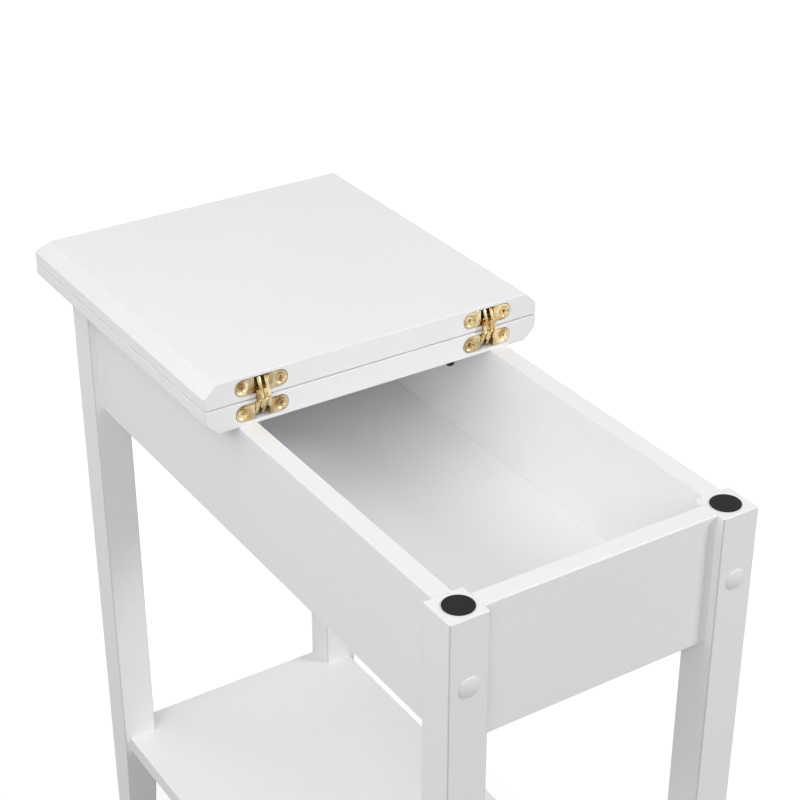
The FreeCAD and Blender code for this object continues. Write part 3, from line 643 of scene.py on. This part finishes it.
def finish_piece(piece, material, body, node):
    """Shades and dresses a finished piece, puts it on its body and hides its construction node."""
    piece.data.materials.clear()
    piece.data.materials.append(material)
    work_on(piece)
    bpy.ops.object.shade_smooth_by_angle(angle=SMOOTH_ANGLE)
    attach(piece, body)
    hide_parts(node)


# %% [markdown]
# ## Hinge plates, links and braces
# Their outlines are exactly those of the construction model, but real castings and stampings
# have no knife edges. A copy of each node is merged into one clean mesh, its flat faces are
# joined up again, and a small bevel runs round the sharp edges, where it catches the light.

# %% Plates, links and braces with rounded edges
MERGE_DISTANCE = 0.002 * MM
FLAT_ANGLE = math.radians(0.5)
SHARP_ANGLE = math.radians(30)


def rounded_copy(node, name, edge_radius):
    """Clean copy of a construction node with its sharp edges rounded."""
    piece = bpy.data.objects.new(name, frame["nodes"][node].data.copy())
    scene.collection.objects.link(piece)
    work_on(piece)
    bpy.ops.object.mode_set(mode="EDIT")
    bpy.ops.mesh.select_all(action="SELECT")
    bpy.ops.mesh.remove_doubles(threshold=MERGE_DISTANCE)
    bpy.ops.mesh.dissolve_limited(angle_limit=FLAT_ANGLE)
    bpy.ops.object.mode_set(mode="OBJECT")
    rounding = piece.modifiers.new("rounded_edges", "BEVEL")
    rounding.width = edge_radius
    rounding.segments = 2
    rounding.limit_method = "ANGLE"
    rounding.angle_limit = SHARP_ANGLE
    bpy.ops.object.modifier_apply(modifier=rounding.name)
    return piece


PLATE_EDGE = 0.22 * MM
STRIP_EDGE = 0.30 * MM
ROUNDED = {
    "hinge_halves_fixed": ("hinge_plates_fixed", PLATE_EDGE, brass, "brass", "table"),
    "hinge_halves_flip": ("hinge_plates_flip", PLATE_EDGE, brass, "brass", "flip_top"),
    "hinge_links_lower": ("hinge_hooks_lower", STRIP_EDGE, brass, "brass", "lower_links"),
    "hinge_links_upper": ("hinge_hooks_upper", STRIP_EDGE, brass, "brass", "upper_links"),
    "corner_braces": ("angle_braces", STRIP_EDGE, black_zinc, "dark_steel", "table"),
}
for node, (name, radius, material, slot, body) in ROUNDED.items():
    piece = rounded_copy(node, name, radius)
    finish_piece(piece, material, body, node)
    print(name, len(piece.data.polygons), "faces")

# %% [markdown]
# ## Screws
# A screw is turned and its head is struck with a cross-shaped punch, so the recess has
# tapered arms and a wide middle. It is made as it is struck: two tapered bars and a tapered
# square are cut out of the head, one after the other.

# %% Cross recess
PUNCH_TAPER = 0.62
PUNCH_ABOVE_HEAD = 0.3 * MM


def tapered_bar(length, width, depth, turn):
    """Bar on the screw's axis that narrows downwards, turned about the axis by degrees."""
    bar = block_on_axis(length, width, depth + PUNCH_ABOVE_HEAD, -depth, turn)
    pick_faces(bar, faces_down)
    bpy.ops.transform.resize(value=(PUNCH_TAPER, PUNCH_TAPER, 1.0))
    bpy.ops.object.mode_set(mode="OBJECT")
    return bar


def strike_recess(screw, length, width, depth, top):
    """Cuts a cross recess into a screw's head, whose top is at the given height."""
    middle = 2 * width
    for turn, bar_length, bar_width in (
        (0, length, width), (90, length, width), (45, middle, middle),
    ):
        bar = tapered_bar(bar_length, bar_width, depth, turn)
        bar.data.transform(Matrix.Translation((0, 0, top)))
        cut_away(screw, bar)


# %% [markdown]
# The hinge screws are countersunk, so that their heads end level with the plates. One stands
# upright at the origin, with its head's face on Z = 0. A cylinder becomes the head, and its
# lower face shrinks to the shank's width and is drawn down.

# %% Countersunk screw
COUNTERSUNK_RADIUS = 3.45 * MM
COUNTERSUNK_SHANK = 1.9 * MM
COUNTERSUNK_LENGTH = 17.8 * MM
COUNTERSUNK_EDGE = 0.18 * MM
COUNTERSUNK_SIDES = 48

head_depth = COUNTERSUNK_RADIUS - COUNTERSUNK_SHANK
narrowing = COUNTERSUNK_SHANK / COUNTERSUNK_RADIUS
hinge_screw = standing_cylinder(COUNTERSUNK_RADIUS, head_depth, COUNTERSUNK_SIDES, -head_depth)
pick_faces(hinge_screw, faces_down)
bpy.ops.transform.resize(value=(narrowing, narrowing, 1.0))
shank_down = (0, 0, head_depth - COUNTERSUNK_LENGTH)
bpy.ops.mesh.extrude_region_move(TRANSFORM_OT_translate={"value": shank_down})
bpy.ops.object.mode_set(mode="OBJECT")
pick_edges(hinge_screw, lambda a, b: abs(a.z) < HAIR and abs(b.z) < HAIR)
bpy.ops.mesh.bevel(offset=COUNTERSUNK_EDGE, segments=2)
bpy.ops.object.mode_set(mode="OBJECT")
strike_recess(hinge_screw, length=3.6 * MM, width=0.95 * MM, depth=1.2 * MM, top=0.0)
print("countersunk screw:", len(hinge_screw.data.polygons), "faces")

# %% [markdown]
# The brace screws have round heads, which rest on the steel. Such a head is a thin rim with a
# low dome on it. The top face is inset again and again, and each new ring is raised to the
# height that a ball's surface has there. The caps over the bolts take the same dome later.

# %% Round-headed screw
ROUND_HEAD_RADIUS = 3.4 * MM
ROUND_HEAD_SHANK = 1.6 * MM
ROUND_HEAD_LENGTH = 13.0 * MM
ROUND_HEAD_RIM = 0.4 * MM
ROUND_HEAD_DOME = 1.2 * MM
ROUND_HEAD_SIDES = 32
ROUND_HEAD_RINGS = 6


def draw_dome(piece, radius, height, rings):
    """Raises the selected top face of a round piece into a low dome, ring by ring."""
    ball = (radius ** 2 + height ** 2) / (2 * height)
    last_radius, last_rise = radius, 0.0
    for ring in range(1, rings):
        ring_radius = radius * (1 - ring / rings)
        rise = math.sqrt(ball ** 2 - ring_radius ** 2) - (ball - height)
        bpy.ops.mesh.inset(thickness=last_radius - ring_radius, depth=0.0)
        bpy.ops.transform.translate(value=(0, 0, rise - last_rise))
        last_radius, last_rise = ring_radius, rise
    bpy.ops.object.mode_set(mode="OBJECT")


brace_screw = standing_cylinder(ROUND_HEAD_RADIUS, ROUND_HEAD_RIM, ROUND_HEAD_SIDES, 0.0)
pick_faces(brace_screw, faces_down)
bpy.ops.mesh.inset(thickness=ROUND_HEAD_RADIUS - ROUND_HEAD_SHANK, depth=0.0)
bpy.ops.mesh.extrude_region_move(TRANSFORM_OT_translate={"value": (0, 0, -ROUND_HEAD_LENGTH)})
bpy.ops.object.mode_set(mode="OBJECT")
pick_faces(brace_screw, faces_up)
draw_dome(brace_screw, ROUND_HEAD_RADIUS, ROUND_HEAD_DOME, ROUND_HEAD_RINGS)
head_top = ROUND_HEAD_RIM + ROUND_HEAD_DOME
strike_recess(brace_screw, length=3.4 * MM, width=0.8 * MM, depth=1.3 * MM, top=head_top)
print("round-headed screw:", len(brace_screw.data.polygons), "faces")

# %% [markdown]
# Each hinge half is held by two screws in dished seats. Whoever drove them stopped where they
# were tight, so no two crosses stand at the same angle. The two halves of a hinge mirror each
# other about the axis that the leaf flips on, so the places are counted from that axis.

# %% Hinge screws in their seats
flip_joint = next(joint for joint in frame["joints"] if joint["name"] == "top_flip")
_, FLIP_AXIS_Y, FLIP_AXIS_Z = flip_joint["pos_m"]
SCREW_FACE_Y = FLIP_AXIS_Y + 1.4 * MM
HINGE_FROM_MIDDLE = 98.4 * MM
SCREW_FROM_HINGE = 15.9 * MM
PLATE_FROM_AXIS = 10.35 * MM
HINGE_SCREW_TURNS = (14, 52, 71, 33, 5, 64, 27, 80)
HEAD_TO_FRONT = 90

turns = iter(HINGE_SCREW_TURNS)
for half, body, height in (
    ("fixed", "table", FLIP_AXIS_Z - PLATE_FROM_AXIS),
    ("flip", "flip_top", FLIP_AXIS_Z + PLATE_FROM_AXIS),
):
    for hinge, hinge_side in (("left", -1), ("right", 1)):
        for end, end_side in (("a", -1), ("b", 1)):
            x = hinge_side * HINGE_FROM_MIDDLE + end_side * SCREW_FROM_HINGE
            name = f"hinge_screw_{half}_{hinge}_{end}"
            spun = placed_copy(hinge_screw, "spun", (0, 0, 0), (0, 0, next(turns)))
            screw = placed_copy(spun, name, (x, SCREW_FACE_Y, height), (HEAD_TO_FRONT, 0, 0))
            bpy.data.objects.remove(spun)
            finish_piece(screw, brass, body, "hinge_screws_" + half)
bpy.data.objects.remove(hinge_screw)
print("hinge screws:", len(HINGE_SCREW_TURNS))

# %% [markdown]
# The braces take four small screws each: two go out into the apron and two go up into the
# fixed leaf. Their heads rest on the steel, which is 2 mm thick.

# %% Brace screws
APRON_INNER_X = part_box("apron_right")[0].x
LEG_TOP_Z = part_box("leg_front_right")[1].z
BRACE_THICKNESS = 2.0 * MM
BRACE_SCREW_DISTANCES = (13.0 * MM, 29.0 * MM)
BRACE_MIDDLES_Y = (FLIP_AXIS_Y + 57.0 * MM, FLIP_AXIS_Y + 200.0 * MM)

count = 0
for side in (-1, 1):
    for y in BRACE_MIDDLES_Y:
        for distance in BRACE_SCREW_DISTANCES:
            on_wall = (side * (APRON_INNER_X - BRACE_THICKNESS), y, LEG_TOP_Z - distance)
            under_leaf = (side * (APRON_INNER_X - distance), y, LEG_TOP_Z - BRACE_THICKNESS)
            for place, turn in ((on_wall, (0, -90 * side, 0)), (under_leaf, (180, 0, 0))):
                count += 1
                screw = placed_copy(brace_screw, f"brace_screw_{count:02d}", place, turn)
                finish_piece(screw, black_zinc, "table", "brace_screws")
bpy.data.objects.remove(brace_screw)
print("brace screws:", count)

# %% [markdown]
# ## Caps over the bolts
# A moulded cap is a thin rim with a low dome and a short spigot that presses into the bolt's
# hole. The cylinder is the rim. Its top face is inset and raised in rings to make the dome,
# its lower face is inset and drawn down to make the spigot, and the rim's edge is rounded.

# %% Bolt caps
CAP_RADIUS = 7.5 * MM
CAP_RIM = 0.8 * MM
CAP_DOME = 1.4 * MM
CAP_SPIGOT_RADIUS = 5.75 * MM
CAP_SPIGOT_LENGTH = 2.5 * MM
CAP_EDGE = 0.3 * MM
CAP_SIDES = 64
CAP_DOME_RINGS = 10

cap = standing_cylinder(CAP_RADIUS, CAP_RIM, CAP_SIDES, 0.0)
pick_faces(cap, faces_down)
bpy.ops.mesh.inset(thickness=CAP_RADIUS - CAP_SPIGOT_RADIUS, depth=0.0)
bpy.ops.mesh.extrude_region_move(TRANSFORM_OT_translate={"value": (0, 0, -CAP_SPIGOT_LENGTH)})
bpy.ops.object.mode_set(mode="OBJECT")
pick_faces(cap, faces_up)
draw_dome(cap, CAP_RADIUS, CAP_DOME, CAP_DOME_RINGS)
pick_edges(cap, lambda a, b: abs(a.z - CAP_RIM) < HAIR and abs(b.z - CAP_RIM) < HAIR)
bpy.ops.mesh.bevel(offset=CAP_EDGE, segments=3)
bpy.ops.object.mode_set(mode="OBJECT")

low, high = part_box("bolt_caps")
cap_x = high.x - CAP_RADIUS
cap_z = (low.z + high.z) / 2
cap_height = CAP_RIM + CAP_DOME
for end, y, turn in (
    ("front", low.y + cap_height, HEAD_TO_FRONT), ("rear", high.y - cap_height, -HEAD_TO_FRONT),
):
    for side, x in (("left", -cap_x), ("right", cap_x)):
        copy = placed_copy(cap, f"bolt_cap_{end}_{side}", (x, y, cap_z), (turn, 0, 0))
        finish_piece(copy, plastic, "table", "bolt_caps")
bpy.data.objects.remove(cap)
print("bolt caps: 4, at x", round(cap_x / MM, 2), "z", round(cap_z / MM, 2))

# %% [markdown]
# ## Barrel nuts
# A barrel nut is a short bar, turned and chamfered, with a threaded cross hole for the bolt
# and a screwdriver slot in its end to line that hole up. The slot's end is seen inside the box.

# %% Barrel nuts
NUT_RADIUS = 5.0 * MM
NUT_LENGTH = 12.0 * MM
NUT_SLOT_WIDTH = 1.2 * MM
NUT_SLOT_DEPTH = 1.5 * MM
NUT_HOLE_RADIUS = 3.05 * MM
NUT_CHAMFER = 0.4 * MM
NUT_SIDES = 48
NUT_HOLE_SIDES = 32

nut = standing_cylinder(NUT_RADIUS, NUT_LENGTH, NUT_SIDES, -NUT_LENGTH)
pick_edges(nut, lambda a, b: abs(a.z - b.z) < HAIR)
bpy.ops.mesh.bevel(offset=NUT_CHAMFER, segments=2)
bpy.ops.object.mode_set(mode="OBJECT")
slot_cutter = block_on_axis(
    NUT_SLOT_WIDTH, 3 * NUT_RADIUS, 2 * NUT_SLOT_DEPTH, -NUT_SLOT_DEPTH
)
cut_away(nut, slot_cutter)
hole_cutter = standing_cylinder(NUT_HOLE_RADIUS, 4 * NUT_RADIUS, NUT_HOLE_SIDES, -2 * NUT_RADIUS)
hole_cutter.rotation_euler = (math.radians(90), 0, 0)
hole_cutter.location = (0, 0, -NUT_LENGTH / 2)
bpy.ops.object.transform_apply(location=True, rotation=True, scale=True)
cut_away(nut, hole_cutter)

low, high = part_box("barrel_nuts")
nut_z = (low.z + high.z) / 2
for end, y in (("front", low.y + NUT_RADIUS), ("rear", high.y - NUT_RADIUS)):
    for name, side in (("left", -1), ("right", 1)):
        place = (side * (high.x - NUT_LENGTH), y, nut_z)
        copy = placed_copy(nut, f"barrel_nut_{end}_{name}", place, (0, -90 * side, 0))
        finish_piece(copy, zinc, "table", "barrel_nuts")
bpy.data.objects.remove(nut)
print("barrel nuts: 4")

# %% [markdown]
# ## Felt pads
# The pads are discs cut from pressed felt. Their edges are soft, so both are rounded, and the
# fibres make the top slightly uneven. The disc's top is inset into rings, so that a cloud
# pattern under a millimetre wide has points to push down. It only pushes down, so nothing
# stands above the pad's height.

# %% Felt pads
low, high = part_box("felt_pads")
PAD_RADIUS = (high.y - low.y) / 2
PAD_HEIGHT = high.z - low.z
PAD_SIDES = 96
PAD_FIRST_RING = 0.35 * MM
PAD_RINGS = 12
PAD_MIDDLE_IN_RINGS = 1.5
PAD_RING_WIDTH = PAD_RADIUS / (PAD_RINGS + PAD_MIDDLE_IN_RINGS)
PAD_EDGE = 0.3 * MM
FIBRE_SIZE = 0.8 * MM
HOLLOW_DEPTH = 0.06 * MM

pad = standing_cylinder(PAD_RADIUS, PAD_HEIGHT, PAD_SIDES, -PAD_HEIGHT)
pick_faces(pad, faces_up)
bpy.ops.mesh.inset(thickness=PAD_FIRST_RING, depth=0.0)
for _ in range(PAD_RINGS):
    bpy.ops.mesh.inset(thickness=PAD_RING_WIDTH, depth=0.0)
bpy.ops.object.mode_set(mode="OBJECT")
rim = pad.modifiers.new("rolled_rim", "BEVEL")
rim.width = PAD_EDGE
rim.segments = 3
rim.limit_method = "ANGLE"
work_on(pad)
bpy.ops.object.modifier_apply(modifier=rim.name)
fibres = bpy.data.textures.new("felt_fibres", "CLOUDS")
fibres.noise_scale = FIBRE_SIZE
hollows = pad.modifiers.new("uneven_top", "DISPLACE")
hollows.texture = fibres
hollows.texture_coords = "LOCAL"
hollows.direction = "Z"
hollows.mid_level = 1.0
hollows.strength = HOLLOW_DEPTH
bpy.ops.object.modifier_apply(modifier=hollows.name)

pad_x = high.x - PAD_RADIUS
for side, x in (("left", -pad_x), ("right", pad_x)):
    copy = placed_copy(pad, "felt_pad_" + side, (x, (low.y + high.y) / 2, high.z))
    finish_piece(copy, felt, "table", "felt_pads")
bpy.data.objects.remove(pad)
print("felt pads: 2, radius", round(PAD_RADIUS / MM, 2))
